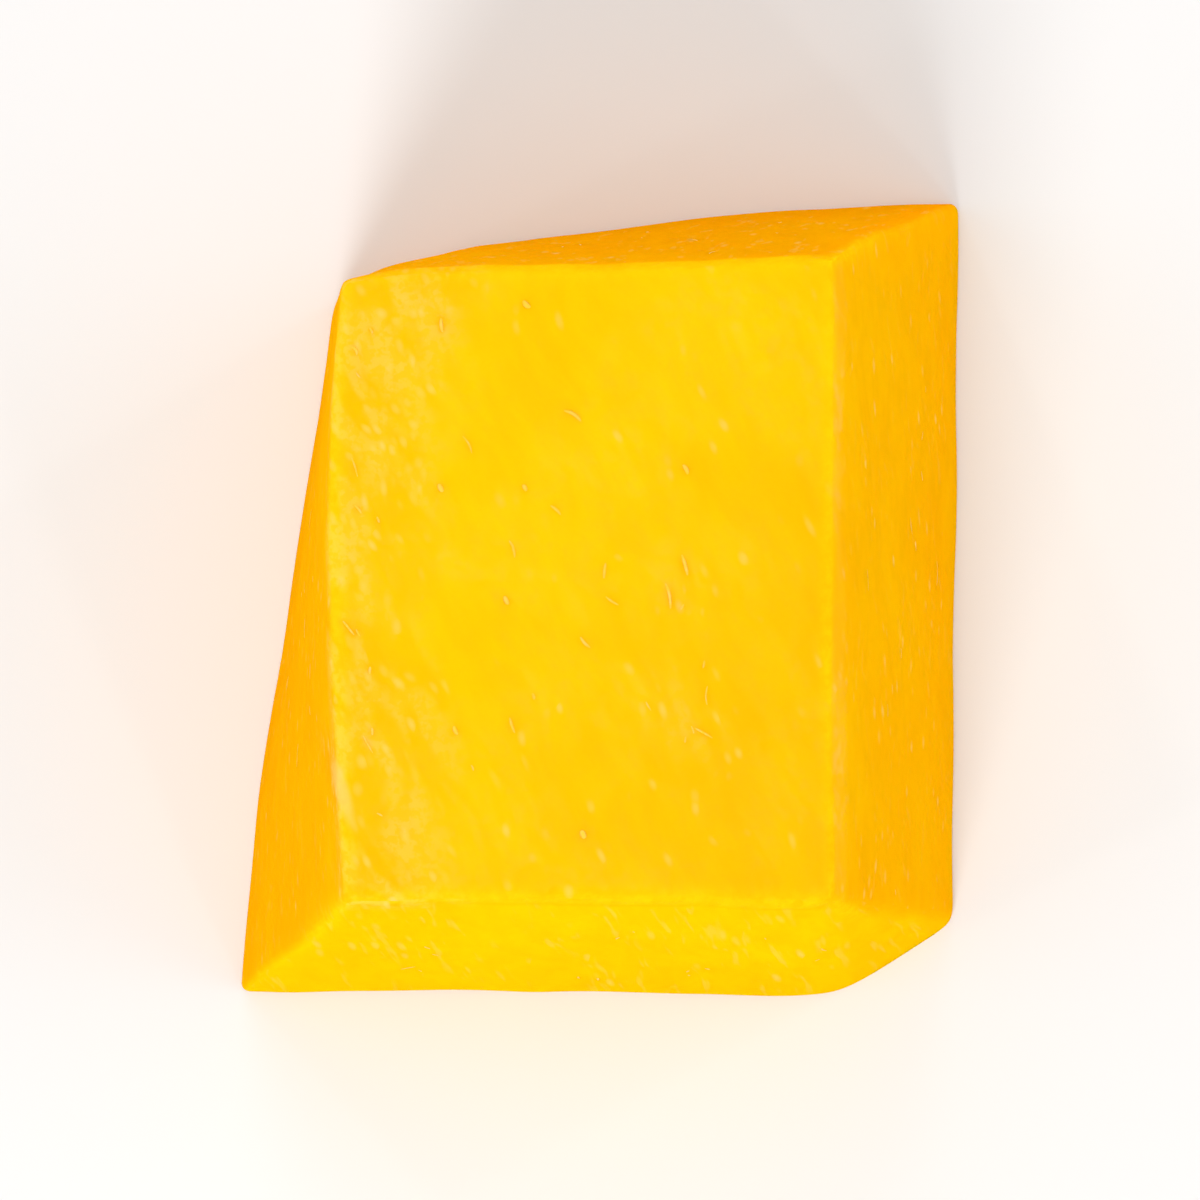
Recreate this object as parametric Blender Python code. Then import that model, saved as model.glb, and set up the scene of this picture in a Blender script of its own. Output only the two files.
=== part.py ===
"""Mango chunk: one hand-cut piece of ripe, peeled mango, lying on its stone side.

The piece is a block between eight corners, wider at the bottom than at the top.
Its four sides are knife cuts, so they lean and twist a little, and its top is
the peeled outside of the fruit, left by the peeler as broad flat strips that
bow along the fruit. X runs across the chunk, Y along it and Z up. The origin
is on the bottom, under the middle of the chunk.
"""

import bmesh
import bpy
import numpy as np

MM = 0.001

# Driving dimensions, in millimetres.
HEIGHT = 24.0
BASE_LEFT = -16.7
BASE_RIGHT = 16.6
BASE_NEAR = -18.2
BASE_FAR = 18.85
TOP_LEFT = -11.9
TOP_RIGHT = 10.9
TOP_NEAR = -13.4
TOP_FAR = 15.9
RIGHT_EDGE_DROP = 1.8  # how much lower the top lies along its right edge
EDGE_RADIUS = 0.5  # how far the knife's edges have softened
TOP_BOW = 1.3  # how far the peeled top falls away towards its two ends
TOP_CROWN = 0.5  # how far it swells across the strips
SIDE_SWELL = 0.45  # how far the left cut, and the foot of the far one, stand out at their middle

# The four corners of each level, by side (left, right) and end (near, far). The
# left cut twists: it is upright at the far end and spreads at the near end.
LOW_CORNERS = {
    ("left", "near"): (BASE_LEFT, BASE_NEAR, 0.0),
    ("right", "near"): (BASE_RIGHT, BASE_NEAR, 0.0),
    ("left", "far"): (BASE_LEFT + 4.7, BASE_FAR - 2.75, 0.0),
    ("right", "far"): (BASE_RIGHT + 0.2, BASE_FAR, 0.0),
}
HIGH_CORNERS = {
    ("left", "near"): (TOP_LEFT + 0.3, TOP_NEAR, HEIGHT),
    ("right", "near"): (TOP_RIGHT, TOP_NEAR - 0.3, HEIGHT - RIGHT_EDGE_DROP - 0.4),
    ("left", "far"): (TOP_LEFT + 0.35, TOP_FAR - 0.8, HEIGHT - 0.3),
    ("right", "far"): (TOP_RIGHT, TOP_FAR, HEIGHT - RIGHT_EDGE_DROP),
}

# Later cuts, each a plane by a point on it and the direction that it faces.
CUTS = {
    "near right corner": ((10.9, -18.3, 0.0), (0.518, -0.834, 0.191)),
    "far left corner": ((-9.4, 15.68, 0.0), (-0.39, 0.92, 0.0)),
    "left peeler strip": ((-7.6, 0.0, HEIGHT), (-0.21, 0.02, 0.978)),
    "right peeler strip": ((7.4, 0.0, HEIGHT - 1.3), (0.30, 0.03, 0.954)),
}
CUT_SOFTNESS = 0.30  # how round the edge is that a later cut leaves

# Unevenness of the flesh: (wavelength, height) of each octave of swells.
SWELLS = ((24.0, 0.12), (10.0, 0.05), (5.2, 0.025))
SWELL_DIRECTIONS = 5  # waves that cross in each octave
RIDGE_SPACING = 3.6  # between the ridges that the fibres raise
RIDGE_HEIGHT = 0.04
RIDGE_DIRECTION = (0.42, -0.90, -0.10)  # the fibres run far left to near right
BASE_ZONE = 5.0  # the unevenness dies away this near to the flat bottom
BASE_SNAP = 0.02  # what lies this near to the bottom is on it

GRID_CUTS = 26  # cuts along each edge of the starting cube
EDGE_CROWDING = 0.55  # 0 spaces the grid evenly, 1 crowds it into the edges
SEED = 11

FLESH_COLOUR = (0.98, 0.54, 0.012, 1.0)
FLESH_ROUGHNESS = 0.36


def corner_table(corners):
    """The four corners as an array, indexed by side and then by end."""
    return np.array([[corners[side, end] for end in ("near", "far")] for side in ("left", "right")])


def rounded_cube(points):
    """The unit cube's points with its edges drawn in to an arc, measured in
    millimetres on the real block: a point near an edge is put EDGE_RADIUS from
    the box that is smaller by that radius all round."""
    half = np.array([BASE_RIGHT - BASE_LEFT, BASE_FAR - BASE_NEAR, HEIGHT]) / 2
    places = points * half
    inner = np.clip(places, EDGE_RADIUS - half, half - EDGE_RADIUS)
    outward = places - inner
    length = np.linalg.norm(outward, axis=1, keepdims=True)
    return (inner + outward * EDGE_RADIUS / np.maximum(length, 1e-9)) / half


def between_corners(cube):
    """Carries the cube's points to the block by weighing its eight corners."""
    across, along, up = ((cube + 1) / 2).T
    block = np.zeros_like(cube)
    for level, share_up in ((LOW_CORNERS, 1 - up), (HIGH_CORNERS, up)):
        table = corner_table(level)
        for side, share_across in enumerate((1 - across, across)):
            for end, share_along in enumerate((1 - along, along)):
                weight = share_up * share_across * share_along
                block += weight[:, None] * table[side, end]
    return block


def swell_faces(block, cube):
    """Bows the peeled top along and across the fruit, and swells the left cut and
    the foot of the far one at the middle of their length."""
    across, along, up = cube.T
    share_up = (up + 1) / 2
    bowed = block.copy()
    bowed[:, 2] -= TOP_BOW * along**2 * share_up
    bowed[:, 2] += TOP_CROWN * (1 - across**2) * share_up
    bowed[:, 0] += SIDE_SWELL * across * (1 - along**2) * (across < 0)
    bowed[:, 1] += SIDE_SWELL * along * (1 - across**2) * (1 - share_up) * (along > 0)
    return bowed


def cut_back(points):
    """Draws every point that lies past a cut back onto it, with a soft edge:
    the pull is CUT_SOFTNESS * log(1 + exp(distance / CUT_SOFTNESS))."""
    for place, facing in CUTS.values():
        facing = np.array(facing) / np.linalg.norm(facing)
        past = (points - np.array(place)) @ facing
        pull = CUT_SOFTNESS * np.logaddexp(0.0, past / CUT_SOFTNESS)
        points = points - pull[:, None] * facing
    return points


def above_base(points):
    """0 on the flat bottom, rising smoothly to 1 above BASE_ZONE."""
    share = np.clip(points[:, 2] / BASE_ZONE, 0, 1)
    return share * share * (3 - 2 * share)


def swells(points, draws):
    """A smooth random height at each point: sines of a few lengths that cross."""
    height = np.zeros(len(points))
    for wavelength, size in SWELLS:
        for _ in range(SWELL_DIRECTIONS):
            direction = draws.normal(size=3)
            direction *= 2 * np.pi / wavelength / np.linalg.norm(direction)
            phase = draws.uniform(0, 2 * np.pi)
            height += size / np.sqrt(SWELL_DIRECTIONS) * np.sin(points @ direction + phase)
    return height


def uneven(points):
    """Moves every point by three independent swells, none of which lifts the bottom."""
    draws = np.random.default_rng(SEED)
    shift = np.stack([swells(points, draws) for _ in range(3)], axis=1)
    shift[:, 2] *= above_base(points)
    return points + shift


def fibre_ridges(points, normals):
    """Raises low ridges along the fibres: a sine of the distance across them,
    which wanders as it goes along them."""
    fibre = np.array(RIDGE_DIRECTION) / np.linalg.norm(RIDGE_DIRECTION)
    across = np.cross(fibre, (0.0, 0.0, 1.0))
    along = points @ fibre
    wander = 1.3 * np.sin(along / 9.0) + 0.6 * np.sin(points[:, 2] / 3.1 + along / 4.7)
    wave = np.sin(2 * np.pi * (points @ across + wander) / RIDGE_SPACING)
    return points + (RIDGE_HEIGHT * wave * above_base(points))[:, None] * normals


def mesh_points(bm):
    return np.array([vertex.co for vertex in bm.verts])


def move_points(bm, points):
    for vertex, point in zip(bm.verts, points):
        vertex.co = point
    bm.normal_update()


def chunk_mesh():
    """The cube that becomes the chunk: subdivided evenly, its grid crowded
    towards its edges, and then carried through each step of the shape."""
    bm = bmesh.new()
    bmesh.ops.create_cube(bm, size=2.0)
    bmesh.ops.subdivide_edges(bm, edges=bm.edges[:], cuts=GRID_CUTS, use_grid_fill=True)
    even = mesh_points(bm)
    crowded = (1 - EDGE_CROWDING) * even + EDGE_CROWDING * np.sin(even * np.pi / 2)
    cube = rounded_cube(crowded)
    move_points(bm, uneven(cut_back(swell_faces(between_corners(cube), cube))))
    normals = np.array([vertex.normal for vertex in bm.verts])
    ridged = fibre_ridges(mesh_points(bm), normals)
    ridged[:, 2] = np.where(ridged[:, 2] < BASE_SNAP, 0.0, ridged[:, 2])
    middle = (ridged.min(axis=0) + ridged.max(axis=0)) / 2
    middle[2] = 0.0
    move_points(bm, (ridged - middle) * MM)
    bmesh.ops.recalc_face_normals(bm, faces=bm.faces[:])
    bmesh.ops.triangulate(bm, faces=bm.faces[:])
    mesh = bpy.data.meshes.new("mango_chunk")
    bm.to_mesh(mesh)
    bm.free()
    mesh.shade_smooth()
    return mesh


def flesh_material():
    """Ripe flesh: deep yellow, wet, and lit a little from within."""
    material = bpy.data.materials.new("mango_flesh")
    material.use_nodes = True
    shader = material.node_tree.nodes["Principled BSDF"]
    shader.inputs["Base Color"].default_value = FLESH_COLOUR
    shader.inputs["Roughness"].default_value = FLESH_ROUGHNESS
    shader.inputs["Metallic"].default_value = 0.0
    shader.inputs["Subsurface Weight"].default_value = 0.25
    shader.inputs["Subsurface Radius"].default_value = (3 * MM, 1.2 * MM, 0.3 * MM)
    material.diffuse_color = FLESH_COLOUR
    return material


def build():
    for thing in list(bpy.data.objects):
        bpy.data.objects.remove(thing)
    collection = bpy.data.collections.new("mango chunk")
    bpy.context.scene.collection.children.link(collection)
    chunk = bpy.data.objects.new("mango_chunk", chunk_mesh())
    chunk.data.materials.append(flesh_material())
    collection.objects.link(chunk)


build()
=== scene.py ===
import math

import bpy
import numpy as np
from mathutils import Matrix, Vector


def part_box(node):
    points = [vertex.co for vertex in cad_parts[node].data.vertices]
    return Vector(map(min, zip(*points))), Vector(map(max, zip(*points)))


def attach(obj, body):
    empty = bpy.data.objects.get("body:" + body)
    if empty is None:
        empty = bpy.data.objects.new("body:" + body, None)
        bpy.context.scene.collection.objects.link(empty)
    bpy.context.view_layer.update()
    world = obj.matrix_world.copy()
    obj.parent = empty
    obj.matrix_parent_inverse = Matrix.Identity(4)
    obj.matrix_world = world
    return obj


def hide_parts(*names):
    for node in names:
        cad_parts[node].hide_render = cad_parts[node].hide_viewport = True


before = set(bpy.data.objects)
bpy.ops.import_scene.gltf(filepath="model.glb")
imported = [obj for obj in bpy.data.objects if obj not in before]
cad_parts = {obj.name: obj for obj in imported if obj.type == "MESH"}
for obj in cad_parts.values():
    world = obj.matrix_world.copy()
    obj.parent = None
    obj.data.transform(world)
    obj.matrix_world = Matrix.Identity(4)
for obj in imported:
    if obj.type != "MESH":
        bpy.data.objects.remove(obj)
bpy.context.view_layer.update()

mm = 0.001
lowCorner, highCorner = (np.array(corner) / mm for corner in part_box("mango_chunk"))
halfSize = (highCorner - lowCorner) / 2
print("frame loaded, chunk is", np.round(2 * halfSize, 1), "mm")


def smoothStep(t):
    # 3t^2 - 2t^3 of t held between 0 and 1
    t = np.clip(t, 0.0, 1.0)
    return t * t * (3 - 2 * t)


def rise(values, span):
    # The smooth step of how far each value has come from the span's first number to its second
    return smoothStep((values - span[0]) / (span[1] - span[0]))


def unit(vectors):
    return vectors / np.linalg.norm(vectors, axis=-1, keepdims=True)


lattice = {
    # turned, so that none of the chunk's sides lies along it
    "turn": np.linalg.qr([[0.7, -0.5, 0.4], [0.6, 0.8, -0.3], [-0.2, 0.5, 0.9]])[0],
    "heights": 4096,  # random heights that its points share
    # large odd numbers and a shift that scatter the points over those heights
    "keys": (73856093, 19349663, 83492791),
    "shift": 9,
}


def latticeNoise(points, wavelength, seed):
    # Value noise from -1 to 1: every point of a cubic lattice has a random height, and a place
    # blends the eight lattice points round it by the smooth step of its share of the way
    table = np.random.default_rng(seed).uniform(-1.0, 1.0, lattice["heights"])
    cell = points / wavelength @ lattice["turn"]
    low = np.floor(cell).astype(np.int64)
    share = smoothStep(cell - low)
    height = np.zeros(len(points))
    for corner in np.ndindex(2, 2, 2):
        x, y, z = ((low + corner) * lattice["keys"]).T
        key = x ^ y ^ z
        weight = np.prod(np.where(corner, share, 1 - share), axis=1)
        height += weight * table[(key ^ (key >> lattice["shift"])) % len(table)]
    return height


def noiseLayer(points, layer):
    # A layer is its wavelength and its height in mm, and its seed
    wavelength, height, seed = layer
    return height * latticeNoise(points, wavelength, seed)


def cubeLattice(steps):
    # Six grids of two whole-number parameters, one on each side of a cube. Places that two or
    # three sides share become one, so the surface has no seams. Also gives each side's own grid
    # of place numbers, by its axis and end.
    first, second = np.meshgrid(np.arange(steps + 1), np.arange(steps + 1), indexing="ij")
    grids = []
    for axis in range(3):
        for end in (0, steps):
            grid = np.empty((steps + 1, steps + 1, 3), int)
            grid[..., axis] = end
            grid[..., (axis + 1) % 3] = first
            grid[..., (axis + 2) % 3] = second
            grids.append(grid)
    everyPlace = np.concatenate([grid.reshape(-1, 3) for grid in grids])
    places, number = np.unique(everyPlace, axis=0, return_inverse=True)
    number = number.reshape(6, steps + 1, steps + 1)
    quads, sides = [], {}
    for side in range(6):
        n = number[side]
        corners = [n[:-1, :-1], n[1:, :-1], n[1:, 1:], n[:-1, 1:]]
        if side % 2 == 0:
            corners.reverse()  # the low end of an axis faces the other way
        quads.append(np.stack(corners, axis=-1).reshape(-1, 4))
        sides["xyz"[side // 2], ("low", "high")[side % 2]] = n
    return 2 * places / steps - 1, np.concatenate(quads), sides


def outwardNormals(points, quads):
    # Each face's area vector, the cross product of its diagonals, is added to its corners,
    # and each sum is made one unit long
    corners = points[quads]
    area = np.cross(corners[:, 2] - corners[:, 0], corners[:, 3] - corners[:, 1])
    total = np.zeros_like(points)
    for corner in range(4):
        np.add.at(total, quads[:, corner], area)
    return unit(total)


def meshFromArrays(name, points, faces, material):
    # points in millimetres, faces all with the same number of sides
    mesh = bpy.data.meshes.new(name)
    mesh.vertices.add(len(points))
    mesh.vertices.foreach_set("co", (points * mm).astype(np.float32).ravel())
    mesh.loops.add(faces.size)
    mesh.loops.foreach_set("vertex_index", faces.astype(np.int32).ravel())
    mesh.polygons.add(len(faces))
    mesh.polygons.foreach_set("loop_start", np.arange(len(faces), dtype=np.int32) * faces.shape[1])
    mesh.update(calc_edges=True)
    mesh.shade_smooth()
    mesh.materials.append(material)
    piece = bpy.data.objects.new(name, mesh)
    bpy.context.scene.collection.objects.link(piece)
    return piece


def addMask(piece, name, values):
    # A number at each point, which the material reads by its name
    mask = piece.data.attributes.new(name, "FLOAT", "POINT")
    mask.data.foreach_set("value", values.astype(np.float32))


def place(tree, kind, inputs=(), **settings):
    # Adds a node, sets what is set on it, and fills its inputs with values or links
    node = tree.nodes.new(kind)
    for setting, value in settings.items():
        setattr(node, setting, value)
    for socket, value in dict(inputs).items():
        if isinstance(value, bpy.types.NodeSocket):
            tree.links.new(value, node.inputs[socket])
        else:
            node.inputs[socket].default_value = value
    return node


def mathNode(tree, operation, first, second=0.0, clamp=False):
    return place(tree, "ShaderNodeMath", {0: first, 1: second}, operation=operation,
                 use_clamp=clamp).outputs[0]


def product(tree, first, *others):
    # A chain of math nodes that multiplies them all
    for other in others:
        first = mathNode(tree, "MULTIPLY", first, other)
    return first


def rangeNode(tree, value, span, to=(0.0, 1.0), kind="SMOOTHSTEP"):
    # Carries the numbers of a span to those of another
    node = place(tree, "ShaderNodeMapRange", {"Value": value, "From Min": span[0],
                 "From Max": span[1], "To Min": to[0], "To Max": to[1]}, interpolation_type=kind)
    return node.outputs["Result"]


def blendNode(tree, share, ends):
    # From the first of two numbers to the second as the share goes from 0 to 1
    return rangeNode(tree, share, (0.0, 1.0), ends, kind="LINEAR")


def mixColour(tree, share, first, second):
    # Inputs 6 and 7 of the node are its two colours, and output 2 is the mixed one
    colours = [colour if isinstance(colour, bpy.types.NodeSocket) else (*colour, 1.0)
               for colour in (first, second)]
    return place(tree, "ShaderNodeMix", {"Factor": share, 6: colours[0], 7: colours[1]},
                 data_type="RGBA").outputs[2]


def noiseNode(tree, places, scale, detail, roughness):
    return place(tree, "ShaderNodeTexNoise", {"Vector": places, "Scale": scale, "Detail": detail,
                 "Roughness": roughness}).outputs["Fac"]


def newGroup(name, inputs, outputs):
    # A shader node group with named inputs and outputs, and its two end nodes. An input whose
    # value is a tuple is a vector.
    group = bpy.data.node_groups.new(name, "ShaderNodeTree")
    for socket, value in inputs.items():
        kind = "NodeSocketVector" if isinstance(value, tuple) else "NodeSocketFloat"
        made = group.interface.new_socket(socket, in_out="INPUT", socket_type=kind)
        made.default_value = value
    for socket in outputs:
        group.interface.new_socket(socket, in_out="OUTPUT", socket_type="NodeSocketFloat")
    given = group.nodes.new("NodeGroupInput").outputs
    wanted = group.nodes.new("NodeGroupOutput").inputs
    return group, given, wanted


def newMaterial(name, everywhere):
    # A material whose shader has these values all over the surface
    material = bpy.data.materials.new(name)
    material.use_nodes = True
    shader = material.node_tree.nodes["Principled BSDF"]
    for socket, value in everywhere.items():
        shader.inputs[socket].default_value = value
    return material, material.node_tree, shader


# The chunk's shape: a block between eight corners, cut back, swollen and given its relief

chunk = {
    # Corners as shares of the half width, half length and height of the CAD solid
    "baseCorners": {(0, 0): (-1.004, -0.999), (1, 0): (0.988, -0.999),
                    (0, 1): (-0.723, 0.858), (1, 1): (1.000, 1.007)},
    "topCorners": {(0, 0): (-0.699, -0.739, 1.006), (1, 0): (0.647, -0.755, 0.914),
                   (0, 1): (-0.696, 0.804, 0.993), (1, 1): (0.647, 0.847, 0.930)},
    # Later cuts: a place on each, in the same shares, and the way it faces
    "cuts": [((0.647, -1.004, 0.0), (0.518, -0.834, 0.191)),
             ((-0.567, 0.835, 0.0), (-0.39, 0.92, 0.0)),
             ((-0.460, -0.014, 1.006), (-0.21, 0.02, 0.978)),
             ((0.438, -0.014, 0.951), (0.30, 0.03, 0.954))],
    "upright": 0.5,  # a cut that faces up by less than this stands up
    "cutSoftness": 0.30,  # mm, as all the sizes below
    "edgeRadius": 0.45,
    "topBow": 1.3,  # how far the top falls away towards its two ends
    "topCrown": 0.5,  # how far it swells in the middle of its width
    "sideSwell": 0.45,  # how far the left side and the far side's foot stand out in their middle
    "swells": [(24.0, 0.12), (10.0, 0.05), (5.2, 0.025)],  # wavelength and height
    "swellDirections": 5,
    "swellSeed": 11,
    "baseZone": 5.0,  # the swells are whole from this height, so that the bottom stays flat
    "baseSnap": 0.02,  # what lies this near to the bottom is on it
    "fibre": (0.42, -0.90, -0.10),  # the way the fibres run
    "endWay": (0.10, -0.15, -0.98),  # the way the knife has drawn them where it cuts across them
    "endSpan": (0.5, 0.65),  # how far a side faces along them to be such a cut
    "steps": 128,  # of the grid on each of the six sides
    "crowding": 0.55,  # of the grid towards the edges
    "topSpan": (0.90, 0.99),  # where the sides of the grid's cube become its top
    "edgeSpan": (0.925, 0.995),  # and where they become its edges
}
fibreWay = unit(np.array(chunk["fibre"]))
endWay = unit(np.array(chunk["endWay"]))


def roundedCube(cube):
    # Holds each place to a box smaller by the edge radius, and then sets it that radius out again
    radius = chunk["edgeRadius"]
    places = cube * halfSize
    inner = np.clip(places, radius - halfSize, halfSize - radius)
    outward = places - inner
    length = np.linalg.norm(outward, axis=1, keepdims=True)
    return (inner + outward * radius / np.maximum(length, 1e-9)) / halfSize


def blockPlaces(cube):
    # Weighs the eight corners by the place's share of the way across, along and up, then bows
    # the top by the square of the way along it, and swells it across, and the left side and the
    # far side's foot along them, by one less such a square
    scale = np.array([*halfSize[:2], highCorner[2]])
    share = (cube + 1) / 2
    block = np.zeros_like(cube)
    for side, end in np.ndindex(2, 2):
        weight = np.prod(np.where([side, end], share[:, :2], 1 - share[:, :2]), axis=1)[:, None]
        low = np.array([*chunk["baseCorners"][side, end], 0.0])
        high = np.array(chunk["topCorners"][side, end])
        block += weight * (low * (1 - share[:, 2:]) + high * share[:, 2:])
    block *= scale
    across, along, _ = cube.T
    block[:, 2] += share[:, 2] * (chunk["topCrown"] * (1 - across**2) - chunk["topBow"] * along**2)
    block[:, 0] += chunk["sideSwell"] * np.minimum(across, 0) * (1 - along**2)
    block[:, 1] += chunk["sideSwell"] * np.maximum(along, 0) * (1 - across**2) * (1 - share[:, 2])
    return block


def cutPlaces(block):
    # What is past a cut is drawn back by softness * log(1 + exp(distance / softness)), and level
    # where the cut stands up, so that the bottom stays flat
    scale = np.array([*halfSize[:2], highCorner[2]])
    softness = chunk["cutSoftness"]
    for spot, facing in chunk["cuts"]:
        facing = unit(np.array(facing))
        back = facing if facing[2] > chunk["upright"] else facing * (1, 1, 0)
        past = (block - np.array(spot) * scale) @ facing
        pull = softness * np.logaddexp(0.0, past / softness)
        block = block - pull[:, None] * back / (back @ facing)
    return block


def swellPlaces(block):
    # Each place moves by three sums of sines that cross, none of which lifts the flat bottom
    draws = np.random.default_rng(chunk["swellSeed"])
    moved = block.copy()
    for axis in range(3):
        held = smoothStep(block[:, 2] / chunk["baseZone"]) if axis == 2 else 1.0
        for wavelength, height in chunk["swells"]:
            for _ in range(chunk["swellDirections"]):
                direction = unit(draws.normal(size=3)) * 2 * math.pi / wavelength
                phase = draws.uniform(0, 2 * math.pi)
                size = height / math.sqrt(chunk["swellDirections"])
                moved[:, axis] += held * size * np.sin(block @ direction + phase)
    return moved


relief = {
    # sizes in mm: each wave's length across and along the fibres, its height and its seed
    "fibreWaves": [((1.5, 5.2), 0.016, 21), ((0.80, 2.6), 0.010, 22)],
    "waveSway": (7.0, 0.8, 31),  # how the waves sway aside: length, how far, and seed
    "lumps": [(5.0, 0.040, 23), (2.2, 0.014, 24), (1.1, 0.008, 25)],
    "onCuts": 0.7,  # how much of these waves and lumps the knife leaves on the sides
    "ridgeSpacing": 3.6,
    "ridgeHeight": 0.020,
    # two sines that the ridges wander by: how far, the length along the fibres and the length up,
    # both lengths for one radian
    "ridgeWander": [(1.3, 9.0, math.inf), (0.6, 4.7, 3.1)],
    "knifeSpacing": 3.1,  # of the faint steps that the knife leaves down the sides
    "knifeHeight": 0.004,
    "knifeLean": 0.10,  # mm up for each mm along the chunk
    "knifeSway": (9.0, 0.7, 32),  # as waveSway
    # bruises of the edges: length, depth, seed, and the part of the noise that is bruised
    "bruises": [(2.6, 0.10, 33, (0.05, 0.75)), (0.8, 0.035, 34, (0.2, 0.8))],
    "wornDepth": 0.26,  # how far the right edge of the top is worn round
    "wornSpan": (1.80, 1.99),
    "pits": 60,
    "pitRadius": (0.25, 0.6),
    "pitDepth": (-0.03, 0.06),
    "pitSeed": 5,
    "bumpAt": (0.445, 0.590),  # a round bump on the top, in shares of the half sizes
    "bumpRadius": 0.55,
    "bumps": [(0.0, 0.20), (-0.9, -0.10)],  # it and a dimple beside it: how far aside, and height
    "footZone": 1.2,  # the relief is whole from this height
}


def sideWeights(cube):
    # How far a place belongs to the top, and how far it lies on an edge between two sides: its
    # largest coordinate is 1 on every side, and its second largest nears 1 at an edge
    second = np.sort(np.abs(cube), axis=1)[:, 1]
    return rise(cube[:, 2], chunk["topSpan"]), rise(second, chunk["edgeSpan"])


def endGrain(normals):
    # 1 on the cuts that cross the fibres, by how far the surface faces along them
    return rise(np.abs(normals @ fibreWay), chunk["endSpan"])


def turnedTo(way, points):
    # Turns places into (across, other way across, along) a direction
    across = unit(np.cross(way, (0.3, 0.0, 1.0)))
    return np.stack([points @ across, points @ np.cross(across, way), points @ way], axis=1)


def fibreRelief(points, normals, top):
    # Ridges are a sine of the distance across the fibres, which wanders as it goes along them.
    # Fibre waves are noise that is longer along the fibres, and lumps are noise as long each way.
    along = points @ fibreWay
    across = points @ np.cross(fibreWay, (0.0, 0.0, 1.0))
    for far, long, tall in relief["ridgeWander"]:
        across = across + far * np.sin(along / long + points[:, 2] / tall)
    height = relief["ridgeHeight"] * np.sin(2 * math.pi * across / relief["ridgeSpacing"])
    held = top + relief["onCuts"] * (1 - top)
    crossed = endGrain(normals)
    for way, share in ((fibreWay, 1 - crossed), (endWay, crossed)):
        turned = turnedTo(way, points)
        turned[:, 0] += noiseLayer(points, relief["waveSway"])
        for (wide, long), size, seed in relief["fibreWaves"]:
            height += held * share * noiseLayer(turned, (np.array([wide, wide, long]), size, seed))
    for layer in relief["lumps"]:
        height += held * noiseLayer(points, layer)
    return height


def knifeRelief(points, cube, top, edge):
    # Knife steps are a sine of the way down the cut sides. The edges are bruised in by the smooth
    # steps of two noises, and the right edge of the top is worn round.
    steps = points[:, 2] + relief["knifeLean"] * points[:, 1]
    steps = steps + noiseLayer(points, relief["knifeSway"])
    knife = np.sin(2 * math.pi * steps / relief["knifeSpacing"])
    height = relief["knifeHeight"] * knife * (1 - top)
    for wavelength, depth, seed, span in relief["bruises"]:
        height -= depth * rise(latticeNoise(points, wavelength, seed), span) * edge
    return height - relief["wornDepth"] * rise(cube[:, 0] + cube[:, 2], relief["wornSpan"])


def pitRelief(points, top):
    # Pits, and a bump with a dimple on the top: each is height * exp(-(distance / radius)^2)
    height = np.zeros(len(points))
    draws = np.random.default_rng(relief["pitSeed"])
    for spot in points[draws.integers(0, len(points), relief["pits"])]:
        radius = draws.uniform(*relief["pitRadius"])
        depth = draws.uniform(*relief["pitDepth"])
        height -= depth * np.exp(-np.sum((points - spot) ** 2, axis=1) / radius**2)
    x, y = np.array(relief["bumpAt"]) * halfSize[:2]
    for aside, size in relief["bumps"]:
        far = (points[:, 0] - x - aside) ** 2 + (points[:, 1] - y) ** 2
        height += size * np.exp(-far / relief["bumpRadius"] ** 2) * top
    return height


def chunkSurface():
    # The cube's lattice, crowded towards its edges by a share of a sine, goes through each step
    # of the shape, is raised along its normals by the relief, and is set in the CAD solid's box
    even, quads, sides = cubeLattice(chunk["steps"])
    crowded = (1 - chunk["crowding"]) * even + chunk["crowding"] * np.sin(even * math.pi / 2)
    cube = roundedCube(crowded)
    smooth = swellPlaces(cutPlaces(blockPlaces(cube)))
    normals = outwardNormals(smooth, quads)
    top, edge = sideWeights(cube)
    height = fibreRelief(smooth, normals, top) + knifeRelief(smooth, cube, top, edge)
    height = (height + pitRelief(smooth, top)) * smoothStep(smooth[:, 2] / relief["footZone"])
    points = smooth + height[:, None] * normals
    points[:, 2] = np.where(points[:, 2] < chunk["baseSnap"], 0.0, points[:, 2])
    low, high = points.min(axis=0), points.max(axis=0)
    points = lowCorner + (points - low) / (high - low) * (highCorner - lowCorner)
    return points, quads, sides, cube


# Where the flesh changes colour, and where shade, sheen and highlights are painted into it: masks
# of each point of the surface

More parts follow.
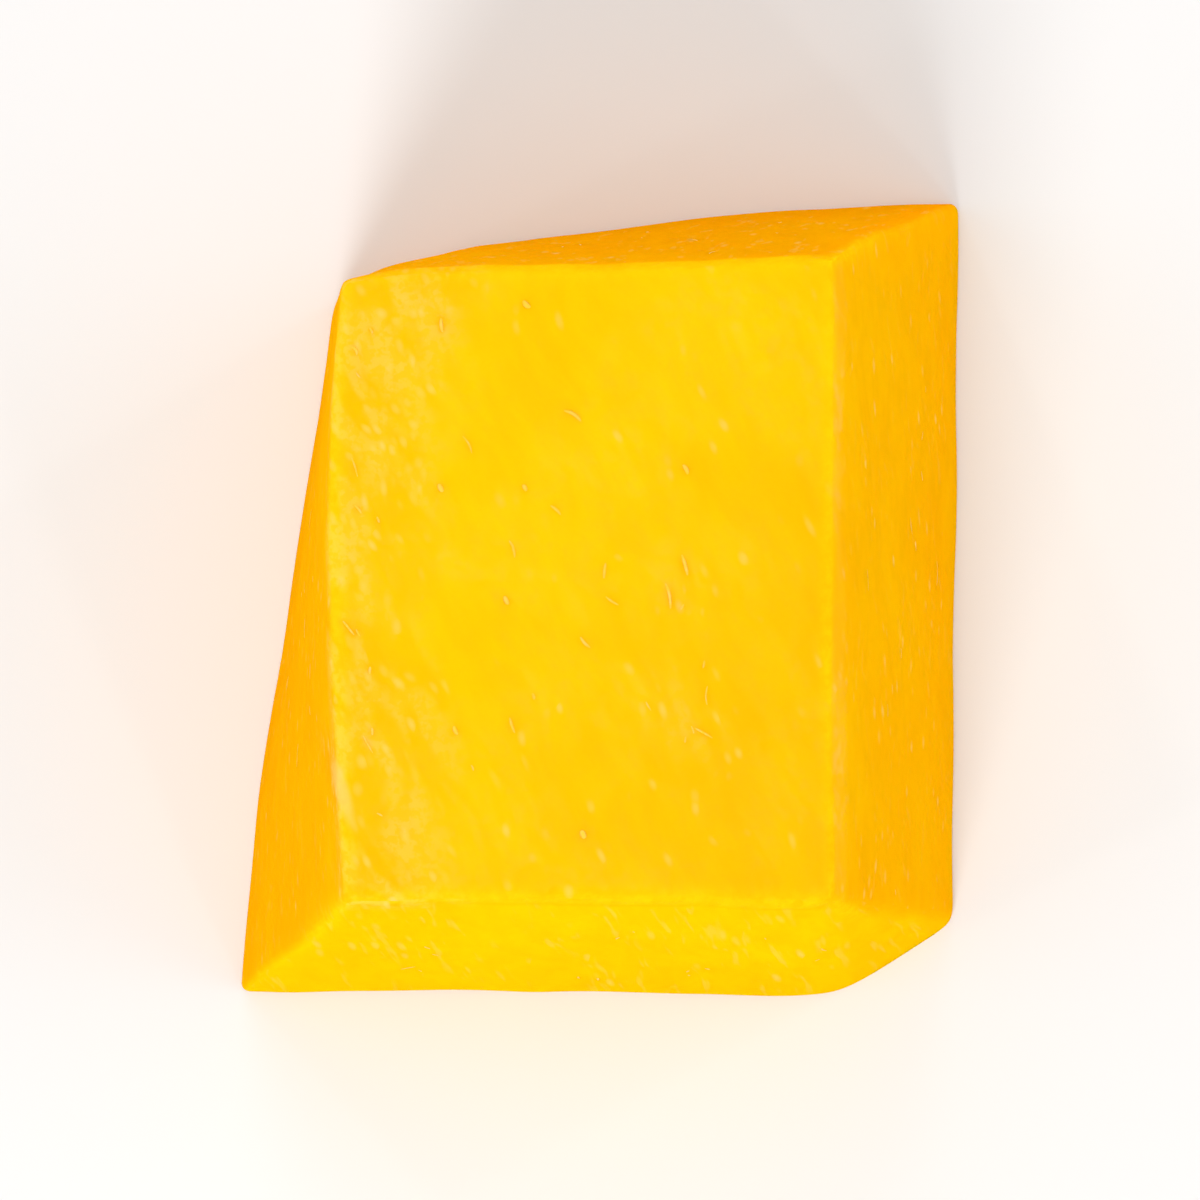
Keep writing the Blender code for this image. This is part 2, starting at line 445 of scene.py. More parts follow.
marks = {
    # The pale band beside the left edge of the top, a painted sheen where the top rounds down to
    # the left: the place along the chunk, in shares of the half length, and the band's width there
    # in mm
    "bandWidth": [(-0.72, 3.6), (-0.35, 3.8), (-0.13, 2.9), (0.09, 3.4), (0.29, 3.3),
                  (0.48, 3.5), (0.66, 4.6), (0.82, 4.8)],
    "bandEdge": [(-0.72, -0.720), (0.05, -0.735), (0.80, -0.708)],  # the top's left edge
    # noises that move the border in and out: length, how far, and seed
    "bandSway": [(2.8, 0.9, 41), (1.1, 0.5, 42)],
    "bandFray": (-0.6, 2.4),  # from how far inside its border it thins, to how far past it
    "bandUp": (0.80, 0.98),  # where it begins, up the grid's cube
    "bandIn": (-1.1, 0.1),  # and in mm from the top's left edge
    "streakAt": (-0.707, -0.452),  # a painted highlight streak at the near end of the band
    "streakSize": (0.36, 1.6),
    "streakLean": 0.32,
    "streakStrength": 2.4,
    # patches of painted glints on the top: the middle of each, its size and how full it is
    "patches": [((0.235, -0.300), (1.9, 2.6), 1.1), ((0.215, 0.030), (0.9, 1.5), 1.0)],
    "patchLean": 0.18,
    "ripeAndShadedCorner": (0.55, -0.62),  # the top turns amber towards this corner, partly riper flesh and partly painted shade where it curves away from the light
    "amberCornerSpan": (-0.45, 0.80),  # and does so between these shares of the way there
    "onTop": (0.11, 0.38),  # the amber of the top, and how much more it has at that corner
    # amber of the bottom and of each cut side, partly deeper flesh and partly painted shade: most
    # on the far side, which faces away from the key light, and least on the near side. Each side
    # has a share of it at the top and the rest lower down, so that the foot is painted darker
    "depth": {"left": 0.60, "right": 0.48, "near": 0.03, "far": 0.88, "bottom": 0.55},
    "depthAtTop": 0.75,
    "depthWhole": 9.0,  # mm below the top
    "towardsBottom": 0.16,  # how much more of it there is down by the bottom, partly deeper flesh by the stone and partly painted shade at the foot
    "bottomSpan": (14.0, -2.0),  # mm up, where that begins and where it would be whole
    "edgeUp": (-0.2, 0.9),  # up the grid's cube, where the standing edges get the painted highlight
}


def leaningSpot(points, spot, size, lean):
    # exp(-(x/wide)^2 - (y/long)^2) about a spot, with x leaning by a share of y
    x, y = (points[:, :2] - np.array(spot) * halfSize[:2]).T
    return np.exp(-((x + lean * y) / size[0]) ** 2 - (y / size[1]) ** 2)


def sheenBandMask(points, cube):
    # 1 in the band of painted sheen, falling evenly to 0 over the fray, and several times that in
    # the painted highlight streak
    along, widths = np.array(marks["bandWidth"]).T
    edgeAlong, edgeAcross = np.array(marks["bandEdge"]).T
    share = points[:, 1] / halfSize[1]
    fromEdge = points[:, 0] - np.interp(share, edgeAlong, edgeAcross) * halfSize[0]
    border = np.interp(share, along, widths)
    for layer in marks["bandSway"]:
        border += noiseLayer(points, layer)
    inner, outer = marks["bandFray"]
    band = np.clip(1 - (fromEdge - border - inner) / (outer - inner), 0, 1)
    band *= rise(cube[:, 2], marks["bandUp"]) * rise(fromEdge, marks["bandIn"])
    streak = leaningSpot(points, marks["streakAt"], marks["streakSize"], marks["streakLean"])
    return band + marks["streakStrength"] * streak


def glintPatchMask(points, cube):
    # The sum of the painted glint patches, each as full as it is in its middle, on the top alone
    patches = sum(full * leaningSpot(points, spot, size, marks["patchLean"])
                  for spot, size, full in marks["patches"])
    return patches * sideWeights(cube)[0]


def amberAndShadeMask(points, normals, cube):
    # Amber and painted shade. On the top it rises towards one corner. On the cut sides it is each
    # side's own value, weighed by the square of how far the place faces that way, and less close to
    # the top.
    top = sideWeights(cube)[0]
    towards = unit(np.array(marks["ripeAndShadedCorner"]))
    least, more = marks["onTop"]
    onTop = least + more * rise(points[:, :2] / halfSize[:2] @ towards, marks["amberCornerSpan"])
    squares = normals**2
    depth = marks["depth"]
    onCuts = squares[:, 0] * np.where(normals[:, 0] > 0, depth["right"], depth["left"])
    onCuts += squares[:, 1] * np.where(normals[:, 1] > 0, depth["far"], depth["near"])
    onCuts += squares[:, 2] * depth["bottom"]
    sunk = smoothStep((highCorner[2] - points[:, 2]) / marks["depthWhole"])
    onCuts *= marks["depthAtTop"] + (1 - marks["depthAtTop"]) * sunk
    onCuts += marks["towardsBottom"] * rise(points[:, 2], marks["bottomSpan"])
    return np.clip(top * onTop + (1 - top) * onCuts, 0, 1)


def edgeMask(cube):
    # 1 along the edges of the top and the upper ends of the standing edges, where the painted edge
    # highlight lies
    return sideWeights(cube)[1] * rise(cube[:, 2], marks["edgeUp"])


# Materials

flesh = {
    "yellow": (1.0, 0.575, 0.0010),  # thin or unripe flesh, and the peeled top with a little amber
    "amber": (1.0, 0.370, 0.0006),  # deeper flesh nearer the stone, and the colour of painted shade
    "edge": (1.0, 0.600, 0.0030),  # a painted highlight: thin flesh glowing paler at the edges
    "pale": (1.0, 0.600, 0.125),  # threads of pale cut fibre, and grains and dashes that are partly pale fibre and partly painted glints
    "bandSheen": 0.30,  # how much of that colour lies as painted sheen on the mottled places of the pale band
    "patchSheen": 0.13,  # and as painted glints on those of the patches
    "bandAmber": 0.15,  # how much more amber lies under that painted sheen
    # Each pattern's spacing in mm and how many times longer than wide it is, which may be one
    # number for the cuts along the fibres and one for the cuts across them
    "ripples": (1.3, 3.2),
    "lines": (1.1, (9.0, 18.0)),
    "grains": (0.55, (2.0, 6.0)),
    "sway": (1.5, 0.4),  # mm that they sway aside on the one and on the other
    "swayScale": 260.0,  # cells to the metre of the noise that sways them
    "threads": (0.07, 0.20),  # how strongly threads show on the one and on the other
    "mottle": 0.45,  # size in mm of the small cells of the flesh
    # how many of the grains show: anywhere, in the band, in the patches, in clouds on the cuts;
    # those in the band and the patches are painted glints
    "grainsShown": {"anywhere": 0.08, "band": 0.62, "patch": 0.62, "clouds": 0.08},
    "grainStrength": (0.12, 0.60),  # of the faintest and of the clearest
    "fineRipple": 0.5,  # share of the fine ripples beside the broad ones
    "mottleInJuice": 0.25,  # share of the small cells in where the juice lies
    "roughness": (0.55, 0.36),  # dry and wet
    "film": (0.3, 1.0),  # how thick the juice is where it is dry and wet
    "coat": 1.0,  # of the juice where it lies thickest
    "bump": (0.8, 0.03),  # strength, and depth in mm
    "everywhere": {"IOR": 1.36, "Specular IOR Level": 0.0, "Coat Roughness": 0.12,
                   "Coat IOR": 1.33, "Subsurface Weight": 1.0, "Subsurface Scale": 1.0,
                   # how far red, green and blue travel, in metres
                   "Subsurface Radius": (0.0026, 0.0010, 0.00025)},
}

# Each effect: the span of the noise or mask that it follows, and what that span is carried to
effects = {
    "clouds": ((0.35, 0.65), (-0.08, 0.08)),  # more and less amber
    "edgeHighlightMottle": ((0.35, 0.65), (0.25, 0.80)),  # share of the painted edge highlight
    "rippleShade": ((0.55, 0.95), (0.97, 1.03)),  # painted shade of the ripples, as brightness
    # painted sheen of the band and the patches: in blobs, in finer cells, and unbroken in the
    # highlight streak
    "sheenBlobs": ((0.42, 0.62), (0.05, 1.0)),
    "sheenMottle": ((0.42, 0.60), (0.30, 1.0)),
    "streakSheen": ((1.1, 2.4), (0.0, 0.8)),
    "grainClouds": ((0.50, 0.62), (0.0, 1.0)),
    "grainChance": ((0.97, 1.03), (0.0, 1.0)),
    "juice": ((0.78, 0.52), (0.0, 1.0)),
    "filmMottle": ((0.42, 0.60), (0.25, 1.0)),
    "filmLines": ((0.40, 0.60), (0.35, 1.0)),
    "filmEdge": ((0.0, 1.0), (1.0, 0.10)),
    "filmFacing": ((0.66, 0.42), (0.0, 1.0)),
    "strandPale": ((0.35, 0.65), (0.2, 0.8)),
}

# The noises: detail and roughness of each, and where on them threads and dashes lie
noises = {
    "broad": (1.0, 0.55),
    "fine": (1.0, 0.6),
    "fineness": 2.7,  # how much closer the fine streaks lie than the broad ones
    "threadFine": (0.56, 0.70),
    "threadBroad": (0.40, 0.60),
    "dash": (0.46, 0.04),  # distance from the middle of a cell, in cells
    "cloud": (2.0, 0.5),
    "cell": (2.0, 0.6),
}


def effect(tree, name, value, kind="SMOOTHSTEP"):
    span, to = effects[name]
    return rangeNode(tree, value, span, to, kind)


def swayedPlaces(tree, across):
    # Object coordinates that a slow noise sways aside, by less on the cuts across the fibres
    here = place(tree, "ShaderNodeTexCoord").outputs["Object"]
    sway = place(tree, "ShaderNodeTexNoise", {"Vector": here, "Scale": flesh["swayScale"],
                 "Detail": 0.0})
    shift = place(tree, "ShaderNodeVectorMath", {0: sway.outputs["Color"], 1: (0.5, 0.5, 0.5)},
                  operation="SUBTRACT").outputs[0]
    size = blendNode(tree, across, [far * mm for far in flesh["sway"]])
    shift = place(tree, "ShaderNodeVectorMath", {0: shift, "Scale": size}, operation="SCALE")
    return place(tree, "ShaderNodeVectorMath", {0: here, 1: shift.outputs[0]},
                 operation="ADD").outputs[0]


def squeezedPlaces(group, places, way, stretch):
    # All but 1/stretch of each place's part along the way is taken away
    along = place(group, "ShaderNodeVectorMath", {0: places, 1: way}, operation="DOT_PRODUCT")
    taken = mathNode(group, "SUBTRACT", 1.0, mathNode(group, "DIVIDE", 1.0, stretch))
    taken = product(group, along.outputs["Value"], taken)
    taken = place(group, "ShaderNodeVectorMath", {0: way, "Scale": taken}, operation="SCALE")
    return place(group, "ShaderNodeVectorMath", {0: places, 1: taken.outputs[0]},
                 operation="SUBTRACT").outputs[0]


def fibreGroup():
    # Streaks along the fibres, which run along Way: Broad and Fine are two sizes of noise on the
    # squeezed places, and Thread is the short thin streaks where both of them are high. Spacing
    # is in millimetres.
    group, given, wanted = newGroup(
        "fibre streaks", {"Places": (0.0, 0.0, 0.0), "Way": tuple(fibreWay), "Spacing": 0.7,
                          "Stretch": 4.0}, ["Broad", "Fine", "Thread"])
    squeezed = squeezedPlaces(group, given["Places"], given["Way"], given["Stretch"])
    scale = mathNode(group, "DIVIDE", 1 / mm, given["Spacing"])
    broad = noiseNode(group, squeezed, scale, *noises["broad"])
    fine = noiseNode(group, squeezed, product(group, scale, noises["fineness"]), *noises["fine"])
    thread = product(group, rangeNode(group, fine, noises["threadFine"]),
                     rangeNode(group, broad, noises["threadBroad"]))
    group.links.new(broad, wanted["Broad"])
    group.links.new(fine, wanted["Fine"])
    group.links.new(thread, wanted["Thread"])
    return group


def grainGroup():
    # Grains and dashes, partly pale cut flesh and partly painted glints: the middles of the cells
    # of a Voronoi pattern on places squeezed along Way. Dash is 1 in the middle of a cell, and
    # Chance and Strength are two random numbers of the cell, which choose the cells that show and
    # how strongly.
    group, given, wanted = newGroup(
        "grain and glint", {"Places": (0.0, 0.0, 0.0), "Way": tuple(fibreWay), "Spacing": 0.6,
                      "Stretch": 2.0}, ["Dash", "Chance", "Strength"])
    squeezed = squeezedPlaces(group, given["Places"], given["Way"], given["Stretch"])
    scale = mathNode(group, "DIVIDE", 1 / mm, given["Spacing"])
    cells = place(group, "ShaderNodeTexVoronoi", {"Vector": squeezed, "Scale": scale}).outputs
    draws = place(group, "ShaderNodeSeparateColor", {"Color": cells["Color"]}).outputs
    group.links.new(rangeNode(group, cells["Distance"], noises["dash"]), wanted["Dash"])
    group.links.new(draws["Red"], wanted["Chance"])
    group.links.new(draws["Green"], wanted["Strength"])
    return group


def mottleGroup():
    # Cloud is slow soft noise, and Grain the small close cells of the flesh
    group, given, wanted = newGroup("flesh mottle", {"Cloud Size": 7.7, "Grain Size": 0.4},
                                    ["Cloud", "Grain"])
    here = place(group, "ShaderNodeTexCoord").outputs["Object"]
    for name, noise in (("Cloud", "cloud"), ("Grain", "cell")):
        scale = mathNode(group, "DIVIDE", 1 / mm, given[name + " Size"])
        group.links.new(noiseNode(group, here, scale, *noises[noise]), wanted[name])
    return group


def fleshPatterns(tree, endGrainMask, groups):
    # Ripples, lines and grains along the fibres, which the knife has drawn down on the cuts
    # across them, and the mottle, each as its group's outputs, by name. The grains are partly pale
    # fibre and partly painted glints.
    across = mathNode(tree, "GREATER_THAN", endGrainMask, 0.5)
    way = place(tree, "ShaderNodeMix", {"Factor": across, 4: tuple(fibreWay), 5: tuple(endWay)},
                data_type="VECTOR").outputs[1]
    places = swayedPlaces(tree, across)
    patterns = {"across": across}
    for name, group in (("ripples", "fibres"), ("lines", "fibres"), ("grains", "grains")):
        spacing, stretch = flesh[name]
        if isinstance(stretch, tuple):
            stretch = blendNode(tree, across, stretch)
        patterns[name] = place(tree, "ShaderNodeGroup", {"Places": places, "Way": way, "Spacing":
                               spacing, "Stretch": stretch}, node_tree=groups[group]).outputs
    patterns["mottle"] = place(tree, "ShaderNodeGroup", {"Grain Size": flesh["mottle"]},
                               node_tree=groups["mottle"]).outputs
    return patterns


def fleshColourAndShade(tree, masks, patterns):
    # Yellow where peeled, amber and painted shade on the cuts, a little more amber under the
    # painted sheen band, clouded, with a painted highlight of paler yellow on the edges and painted
    # shade of the ripples
    mottle, ripples = patterns["mottle"], patterns["ripples"]
    underBand = product(tree, masks["paleSheenBand"], flesh["bandAmber"])
    amberShare = mathNode(tree, "ADD", masks["amber"], underBand)
    clouds = effect(tree, "clouds", mottle["Cloud"], kind="LINEAR")
    deep = mathNode(tree, "ADD", amberShare, clouds, clamp=True)
    colour = mixColour(tree, deep, flesh["yellow"], flesh["amber"])
    # painted highlight: paler yellow along the edges
    edged = effect(tree, "edgeHighlightMottle", mottle["Grain"], kind="LINEAR")
    edged = product(tree, masks["topEdge"], edged)
    colour = mixColour(tree, edged, colour, flesh["edge"])
    # painted shade of the ripples, which darkens and lightens the colour
    rippled = mathNode(tree, "ADD", ripples["Broad"],
                       product(tree, ripples["Fine"], flesh["fineRipple"]))
    shade = effect(tree, "rippleShade", rippled, kind="LINEAR")
    return place(tree, "ShaderNodeHueSaturation", {"Value": shade, "Color": colour}).outputs[0]


def paleMarks(tree, masks, patterns):
    # How much of the pale colour shows: painted sheen on the band and the patches, in blobs and
    # finer cells but unbroken in the painted highlight streak, grains that are partly pale fibre
    # and partly painted glints, which crowd there and thin out past them, and threads of pale fibre
    # on the cut sides
    mottle, grains = patterns["mottle"], patterns["grains"]
    sheenSpread = product(tree, effect(tree, "sheenBlobs", patterns["ripples"]["Broad"]),
                      effect(tree, "sheenMottle", mottle["Grain"]))
    sheenSpread = mathNode(tree, "MAXIMUM", sheenSpread, effect(tree, "streakSheen", masks["paleSheenBand"]))
    thick = mathNode(tree, "ADD", product(tree, masks["paleSheenBand"], flesh["bandSheen"]),
                     product(tree, masks["glintPatch"], flesh["patchSheen"]))
    cloudy = product(tree, effect(tree, "grainClouds", mottle["Cloud"]), masks["cutSide"])
    shown = flesh["grainsShown"]
    many = mathNode(tree, "ADD", grains["Chance"], shown["anywhere"])
    for name, mask in (("band", masks["paleSheenBand"]), ("patch", masks["glintPatch"]),
                       ("clouds", cloudy)):
        many = mathNode(tree, "ADD", many, product(tree, mask, shown[name]))
    dashes = product(tree, effect(tree, "grainChance", many), grains["Dash"],
                     blendNode(tree, grains["Strength"], flesh["grainStrength"]))
    threads = product(tree, patterns["lines"]["Thread"], masks["cutSide"],
                      blendNode(tree, patterns["across"], flesh["threads"]))
    return mathNode(tree, "ADD", product(tree, thick, sheenSpread),
                    mathNode(tree, "MAXIMUM", dashes, threads), clamp=True)


def addJuice(tree, masks, patterns, shader):
    # Where juice lies the flesh is smoother and has more of a coat, which the cells and the lines
    # break. It is thin on the edges, and its gloss is held back where it is seen along the surface.
    mottle = patterns["mottle"]
    cells = product(tree, mottle["Grain"], flesh["mottleInJuice"])
    wet = effect(tree, "juice", mathNode(tree, "ADD", mottle["Cloud"], cells))
    facing = place(tree, "ShaderNodeLayerWeight", {"Blend": 0.5}).outputs["Facing"]
    film = product(tree, blendNode(tree, wet, flesh["film"]),
                   effect(tree, "filmMottle", mottle["Grain"]),
                   effect(tree, "filmLines", patterns["lines"]["Fine"]),
                   effect(tree, "filmEdge", masks["topEdge"]),
                   effect(tree, "filmFacing", facing), flesh["coat"])
    tree.links.new(blendNode(tree, wet, flesh["roughness"]), shader.inputs["Roughness"])
    tree.links.new(film, shader.inputs["Coat Weight"])


def fleshMaterial(groups):
    material, tree, shader = newMaterial("mangoFlesh", flesh["everywhere"])
    shader.subsurface_method = "BURLEY"
    masks = {name: place(tree, "ShaderNodeAttribute", attribute_name=name).outputs["Fac"]
             for name in ("paleSheenBand", "glintPatch", "amber", "topEdge", "endGrain", "cutSide")}
    patterns = fleshPatterns(tree, masks["endGrain"], groups)
    colour = mixColour(tree, paleMarks(tree, masks, patterns), fleshColourAndShade(tree, masks, patterns),
                       flesh["pale"])
    tree.links.new(colour, shader.inputs["Base Color"])
    addJuice(tree, masks, patterns, shader)
    # relief too fine for the mesh
    fine = product(tree, patterns["ripples"]["Fine"], flesh["fineRipple"])
    raised = mathNode(tree, "ADD", fine, patterns["mottle"]["Grain"])
    strength, depth = flesh["bump"]
    bump = place(tree, "ShaderNodeBump", {"Strength": strength, "Distance": depth * mm,
                 "Height": raised})
    tree.links.new(bump.outputs[0], shader.inputs["Normal"])
    return material


# Fibres: short pale strands that lie half sunk in the flesh where it was cut

strands = {
    "seed": 77,
    "rings": 9,  # of places along each, its two ends included
    "sides": 6,
    "radius": (0.035, 0.070),  # mm
    "flatness": 0.14,  # their height as a share of their width
    "lift": (0.1, -0.7),  # how high the middle and the ends lie, in shares of that height
    "length": (0.35, 1.5),
    "curl": 0.07,  # how far each bows aside, as a share of its length
    "turn": 22,  # degrees that they mostly stray from the fibres
    # each lot: the side, the middle of the lot, its half sizes in mm, and how many
    "lots": [(("z", "high"), (-10.4, 1.0), (1.5, 12.0), 12),
             (("z", "high"), (3.6, -3.4), (1.6, 4.2), 8),
             (("z", "high"), (-3.5, 0.0), (4.0, 11.0), 8),
             (("y", "low"), (0.0, 9.0), (12.0, 7.0), 14),
             (("y", "high"), (2.0, 11.0), (10.0, 8.0), 10),
             (("x", "low"), (0.0, 10.0), (13.0, 8.0), 11),
             (("x", "high"), (0.0, 10.0), (14.0, 8.0), 11)],
    # the clear ones on the top: place, length, radius and turn from the fibres in degrees
    "clear": [(-3.2, 13.6, 0.55, 0.13, 20), (-3.4, 5.1, 0.4, 0.10, 0),
              (-7.2, 5.1, 0.5, 0.12, 0), (-1.2, 8.4, 1.1, 0.08, 32), (-4.0, 2.3, 1.0, 0.06, -8),
              (-4.2, 0.0, 0.5, 0.11, 0), (-6.5, -5.9, 0.5, 0.10, 0), (-0.6, -10.8, 0.5, 0.14, 0),
              (-7.1, 12.6, 0.8, 0.09, -20), (3.9, 1.6, 1.2, 0.08, -10), (4.0, 6.0, 0.6, 0.10, 0)],
    "mottle": 0.3,  # size in mm of the cells that mix their two colours
    "everywhere": {"Roughness": 0.5, "Specular IOR Level": 0.1},
    "searchRounds": 14,  # in which a strand's places are found on a side
    "longestStep": 24,  # of the grid, in one round
}


def fibreMaterial(mottle):
    material, tree, shader = newMaterial("mangoFibre", strands["everywhere"])
    cells = place(tree, "ShaderNodeGroup", {"Grain Size": strands["mottle"]}, node_tree=mottle)
    share = effect(tree, "strandPale", cells.outputs["Grain"], kind="LINEAR")
    tree.links.new(mixColour(tree, share, flesh["yellow"], flesh["pale"]),
                   shader.inputs["Base Color"])
    return material


def gridSample(values, at):
    # Blends the four grid values round each place, by its shares of the way between them
    low = np.clip(at.astype(int), 0, chunk["steps"] - 1)
    u, v = np.moveaxis(at - low, -1, 0)[..., None]
    i, j = np.moveaxis(low, -1, 0)
    near = values[i, j] * (1 - u) + values[i + 1, j] * u
    far = values[i, j + 1] * (1 - u) + values[i + 1, j + 1] * u
    return near * (1 - v) + far * v


def ontoSide(grid, aims):
    # The places of a side nearest to the aims, and the normals there, by Gauss-Newton steps of
    # the grid's two parameters: each step solves for the change that takes the place to its aim
    slopes = np.gradient(grid[..., :3], axis=(0, 1))
    at = np.full(aims.shape[:-1] + (2,), chunk["steps"] / 2)
    longest = strands["longestStep"]
    for _ in range(strands["searchRounds"]):
        gap = aims - gridSample(grid[..., :3], at)
        du, dv = (gridSample(slope, at) for slope in slopes)
        uu, uv, vv = ((a * b).sum(-1) for a, b in ((du, du), (du, dv), (dv, dv)))
        gu, gv = (gap * du).sum(-1), (gap * dv).sum(-1)
        size = uu * vv - uv * uv
        step = np.stack([gu * vv - gv * uv, gv * uu - gu * uv], axis=-1) / size[..., None]
        at = np.clip(at + np.clip(step, -longest, longest), 0, chunk["steps"] - 0.001)
    found = gridSample(grid, at)
    return found[..., :3], unit(found[..., 3:])


def strandPaths(grid, middles, lengths, radii, turns, draws):
    # A path through each middle, along the fibres but turned about the surface's normal, bowed
    # by half a sine of its length, laid on the surface and sunk into it at its ends
    _, up = ontoSide(grid, middles)
    way = np.where(endGrain(up)[:, None] > 0.5, endWay, fibreWay)
    ahead = unit(way - np.sum(up * way, axis=1, keepdims=True) * up)
    aside = np.cross(up, ahead)
    turns = np.radians(turns)[:, None]
    ahead, aside = (np.cos(turns) * ahead + np.sin(turns) * aside,
                    np.cos(turns) * aside - np.sin(turns) * ahead)
    s = np.linspace(-1, 1, strands["rings"])[:, None]
    bow = strands["curl"] * draws.normal(size=(len(middles), 1, 1)) * lengths[:, None, None]
    path = middles[:, None] + s * lengths[:, None, None] / 2 * ahead[:, None]
    path = path + bow * np.cos(s * math.pi / 2) * aside[:, None]
    path, up = ontoSide(grid, path)
    middle, end = strands["lift"]
    lift = radii[:, None, None] * strands["flatness"] * (middle + (end - middle) * s**2)
    return path + up * lift, up


def strandMesh(paths, ups, radii):
    # A closed tube round each path, its radius times sqrt(1 - s^2) with s from -1 to 1 along
    # it, so that both ends come to a point
    count, rings, around = paths.shape[0], strands["rings"] - 2, strands["sides"]
    s = np.linspace(-1, 1, strands["rings"])[1:-1]
    ahead = np.gradient(paths, axis=1)[:, 1:-1]
    aside = unit(np.cross(ahead, ups[:, 1:-1]))
    up = unit(np.cross(aside, ahead))
    k = np.arange(around)
    turn = (2 * math.pi * k / around)[:, None]
    spokes = np.cos(turn) * aside[:, :, None] + strands["flatness"] * np.sin(turn) * up[:, :, None]
    reach = radii[:, None, None, None] * np.sqrt(1 - s**2)[:, None, None]
    tube = (paths[:, 1:-1, None] + reach * spokes).reshape(count, -1, 3)
    points = np.concatenate([tube, paths[:, :1], paths[:, -1:]], axis=1)
    here = np.arange(rings - 1)[:, None] * around + k
    beside = np.arange(rings - 1)[:, None] * around + (k + 1) % around
    walls = [np.stack([here, beside, beside + around], -1),
             np.stack([here, beside + around, here + around], -1)]
    first, last = np.full(around, rings * around), np.full(around, rings * around + 1)
    caps = [np.stack([first, beside[0], here[0]], -1),
            np.stack([last, here[-1] + around, beside[-1] + around], -1)]
    faces = np.concatenate([part.reshape(-1, 3) for part in walls + caps])
    faces = faces + np.arange(count)[:, None, None] * points.shape[1]
    return points.reshape(-1, 3), faces.reshape(-1, 3)


def everyStrand(points, quads, sides):
    # The lots scatter evenly over ellipses, and the clear ones lie where they are named
    draws = np.random.default_rng(strands["seed"])
    surface = np.concatenate([points, outwardNormals(points, quads)], axis=1)
    paths, ups, radii = [], [], []
    for side, middle, reach, count in strands["lots"]:
        grid = surface[sides[side]]
        turn, far = draws.uniform(0, 2 * math.pi, count), np.sqrt(draws.uniform(0, 1, count))
        spread = np.stack([far * np.cos(turn), far * np.sin(turn)], axis=1) * reach + middle
        axis = "xyz".index(side[0])
        aims = np.insert(spread, axis, points[sides[side]].mean(axis=(0, 1))[axis], axis=1)
        middles, _ = ontoSide(grid, aims)
        size = draws.uniform(0, 1, count) ** 2
        length = strands["length"][0] + size * np.ptp(strands["length"])
        radius = draws.uniform(*strands["radius"], count)
        turns = draws.normal(0, strands["turn"], count)
        path, up = strandPaths(grid, middles, length, radius, turns, draws)
        paths.append(path)
        ups.append(up)
        radii.append(radius)
    grid = surface[sides["z", "high"]]
    x, y, length, radius, turn = np.array(strands["clear"]).T
    middles, _ = ontoSide(grid, np.stack([x, y, np.full_like(x, highCorner[2])], axis=1))
    path, up = strandPaths(grid, middles, length, radius, turn, draws)
    return strandMesh(np.concatenate([*paths, path]), np.concatenate([*ups, up]),
                      np.concatenate([*radii, radius]))


# The pieces

groups = {"fibres": fibreGroup(), "grains": grainGroup(), "mottle": mottleGroup()}
points, quads, sides, cube = chunkSurface()
normals = outwardNormals(points, quads)
fleshPiece = meshFromArrays("mango_chunk_flesh", points, quads, fleshMaterial(groups))
addMask(fleshPiece, "paleSheenBand", sheenBandMask(points, cube))
addMask(fleshPiece, "glintPatch", glintPatchMask(points, cube))
addMask(fleshPiece, "amber", amberAndShadeMask(points, normals, cube))
addMask(fleshPiece, "topEdge", edgeMask(cube))
addMask(fleshPiece, "endGrain", endGrain(normals))
addMask(fleshPiece, "cutSide", 1 - sideWeights(cube)[0])
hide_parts("mango_chunk")
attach(fleshPiece, "root")
print("flesh made,", 2 * len(quads), "triangles")

fibrePoints, fibreFaces = everyStrand(points, quads, sides)
fibrePiece = meshFromArrays("mango_chunk_fibres", fibrePoints, fibreFaces,
                            fibreMaterial(groups["mottle"]))
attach(fibrePiece, "root")
print("fibres made,", len(fibreFaces), "triangles")


# Table, light and camera

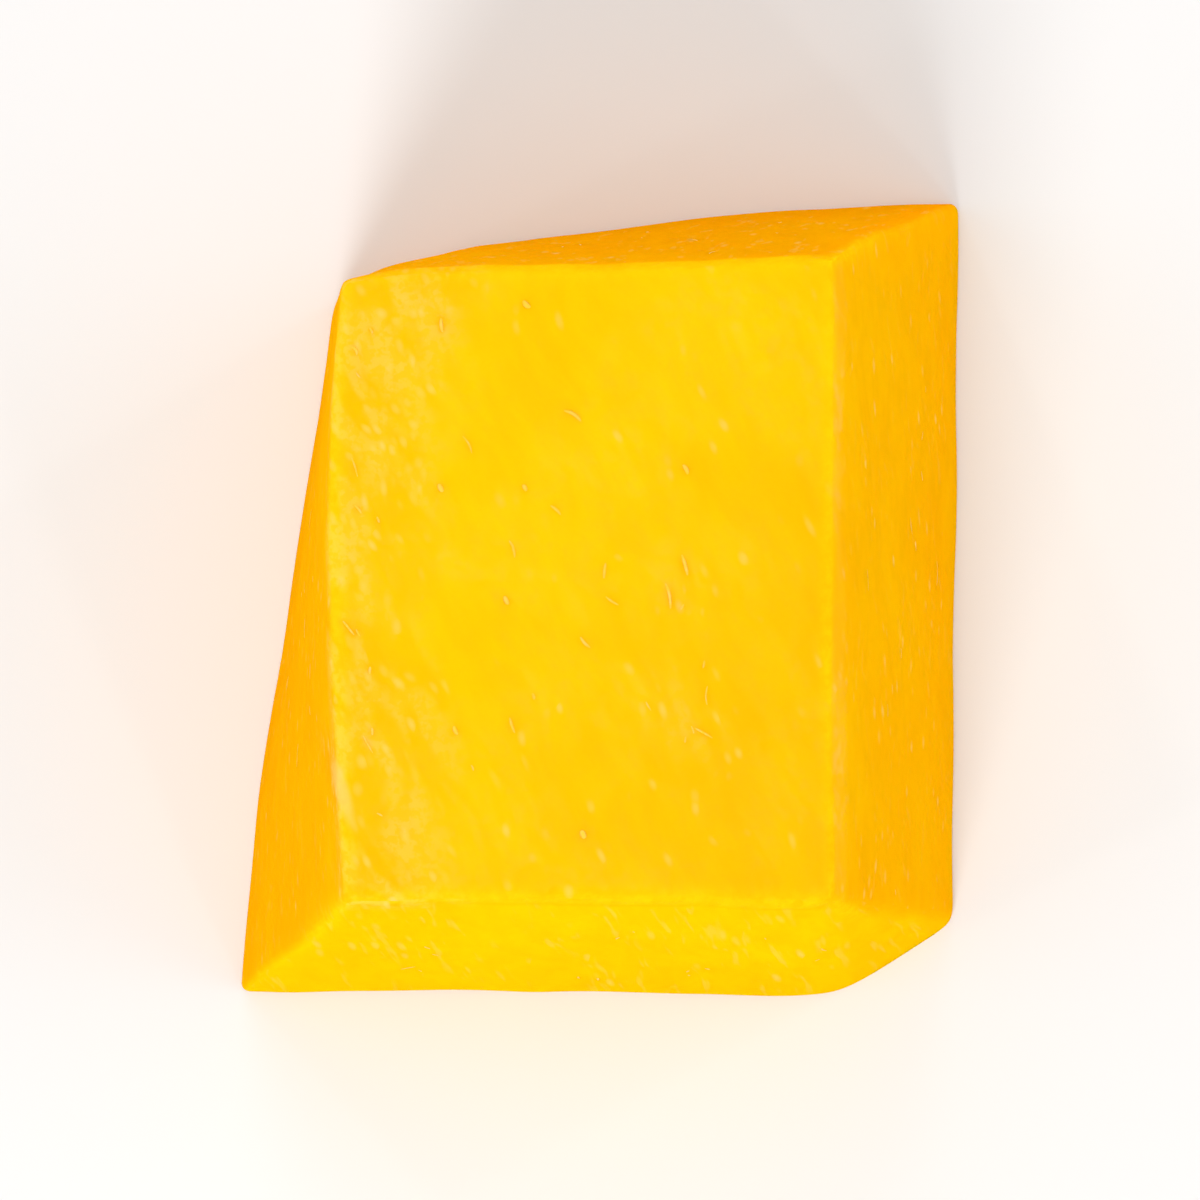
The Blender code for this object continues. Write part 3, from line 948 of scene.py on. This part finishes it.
studio = {
    "floorRadius": 1.5,  # metres
    "floorSides": 96,
    "floor": {"Base Color": (0.85, 0.85, 0.85, 1.0), "Roughness": 0.6, "Specular IOR Level": 0.2},
    "world": 0.57,
    # each lamp's x, y, z and size in metres, and its watts
    "lamps": {"key": (-0.20, -0.62, 0.66, 0.35, 3.8),
              "back": (-0.10, 0.80, 0.46, 0.50, 1.15),
              "right fill": (0.60, 0.05, 0.38, 0.65, 1.15),
              "left fill": (-0.60, 0.05, 0.38, 0.65, 0.65),
              "near glint": (0.40, -0.62, 0.50, 0.07, 0.40),
              "far glint": (-0.42, 0.66, 0.50, 0.07, 0.40),
              "left glint": (-0.70, -0.30, 0.42, 0.07, 0.30),
              "right glint": (0.66, 0.42, 0.40, 0.07, 0.30)},
    "cameraHeight": 0.75,
    "frameWidth": 0.056,  # of the table that the picture takes in
    "sensorWidth": 36.0,  # mm
}


def softLight(name, settings):
    # A round lamp aimed at the chunk. The fills don't show in its juice.
    x, y, z, size, watts = settings
    lamp = bpy.data.lights.new(name, "AREA")
    lamp.shape = "DISK"
    lamp.size = size
    lamp.energy = watts
    light = bpy.data.objects.new(name, lamp)
    light.location = (x, y, z)
    light.rotation_euler = (-light.location).to_track_quat("-Z", "Y").to_euler()
    light.visible_glossy = "fill" not in name
    bpy.context.scene.collection.objects.link(light)


def roundFloor():
    # A flat disc: a fan of thin triangles round the middle
    count = studio["floorSides"]
    here = np.arange(count)
    turns = 2 * math.pi * here / count
    rim = np.stack([np.cos(turns), np.sin(turns), 0 * turns], axis=1) * studio["floorRadius"] / mm
    places = np.concatenate([rim, [[0, 0, 0]]])
    faces = np.stack([here, (here + 1) % count, np.full(count, count)], axis=1)
    material, _, _ = newMaterial("paleFloor", studio["floor"])
    meshFromArrays("paleFloor", places, faces, material)


roundFloor()
for lampName, settings in studio["lamps"].items():
    softLight(lampName, settings)
world = bpy.data.worlds.new("studio")
world.use_nodes = True
world.node_tree.nodes["Background"].inputs["Color"].default_value = (1, 1, 1, 1)
world.node_tree.nodes["Background"].inputs["Strength"].default_value = studio["world"]
bpy.context.scene.world = world
bpy.context.scene.view_settings.view_transform = "Standard"

lens = bpy.data.cameras.new("camera")
lens.sensor_width = studio["sensorWidth"]
lens.lens = lens.sensor_width * studio["cameraHeight"] / studio["frameWidth"]
camera = bpy.data.objects.new("camera", lens)
camera.location = (0, 0, studio["cameraHeight"])
bpy.context.scene.collection.objects.link(camera)
bpy.context.scene.camera = camera
print("studio made")
